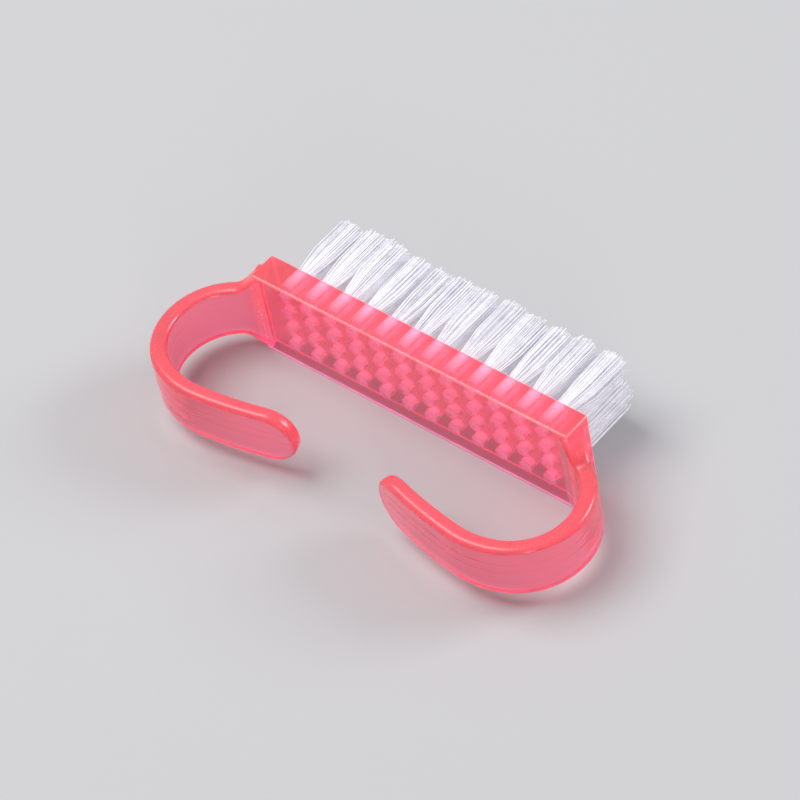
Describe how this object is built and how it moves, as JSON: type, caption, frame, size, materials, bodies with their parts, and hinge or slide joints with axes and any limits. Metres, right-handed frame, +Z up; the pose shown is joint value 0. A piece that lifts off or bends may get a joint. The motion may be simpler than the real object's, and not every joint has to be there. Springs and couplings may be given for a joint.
{
  "type": "nail brush",
  "caption": "Hand nail brush: a translucent plastic block with nylon tufts on its front and curved finger hooks on its back.",
  "frame": {"origin": "on the surface the brush lies on, under the middle of its bounding box", "axes": "+X along the block, +Y from the finger hooks to the bristle tips, +Z up across the block's width, with the brush lying on its long side"},
  "size_m": [0.065, 0.0324, 0.0132],
  "materials": {
    "handle_plastic": "clear moulded fluorescent pink plastic, polished, see-through",
    "bristle_nylon": "white translucent nylon filament, soft sheen",
    "anchor_metal": "plain rolled flat wire, cut ends"
  },
  "bodies": {
    "root": {"handle": "handle_plastic", "tuft_row1_col01": "bristle_nylon", "tuft_row1_col02": "bristle_nylon", "tuft_row1_col03": "bristle_nylon", "tuft_row1_col04": "bristle_nylon", "tuft_row1_col05": "bristle_nylon", "tuft_row1_col06": "bristle_nylon", "tuft_row1_col07": "bristle_nylon", "tuft_row1_col08": "bristle_nylon", "tuft_row1_col09": "bristle_nylon", "tuft_row1_col10": "bristle_nylon", "tuft_row1_col11": "bristle_nylon", "tuft_row1_col12": "bristle_nylon", "tuft_row2_col01": "bristle_nylon", "tuft_row2_col02": "bristle_nylon", "tuft_row2_col03": "bristle_nylon", "tuft_row2_col04": "bristle_nylon", "tuft_row2_col05": "bristle_nylon", "tuft_row2_col06": "bristle_nylon", "tuft_row2_col07": "bristle_nylon", "tuft_row2_col08": "bristle_nylon", "tuft_row2_col09": "bristle_nylon", "tuft_row2_col10": "bristle_nylon", "tuft_row2_col11": "bristle_nylon", "tuft_row2_col12": "bristle_nylon", "tuft_row3_col01": "bristle_nylon", "tuft_row3_col02": "bristle_nylon", "tuft_row3_col03": "bristle_nylon", "tuft_row3_col04": "bristle_nylon", "tuft_row3_col05": "bristle_nylon", "tuft_row3_col06": "bristle_nylon", "tuft_row3_col07": "bristle_nylon", "tuft_row3_col08": "bristle_nylon", "tuft_row3_col09": "bristle_nylon", "tuft_row3_col10": "bristle_nylon", "tuft_row3_col11": "bristle_nylon", "tuft_row3_col12": "bristle_nylon", "tuft_row4_col01": "bristle_nylon", "tuft_row4_col02": "bristle_nylon", "tuft_row4_col03": "bristle_nylon", "tuft_row4_col04": "bristle_nylon", "tuft_row4_col05": "bristle_nylon", "tuft_row4_col06": "bristle_nylon", "tuft_row4_col07": "bristle_nylon", "tuft_row4_col08": "bristle_nylon", "tuft_row4_col09": "bristle_nylon", "tuft_row4_col10": "bristle_nylon", "tuft_row4_col11": "bristle_nylon", "tuft_row4_col12": "bristle_nylon"}
  },
  "joints": []
}
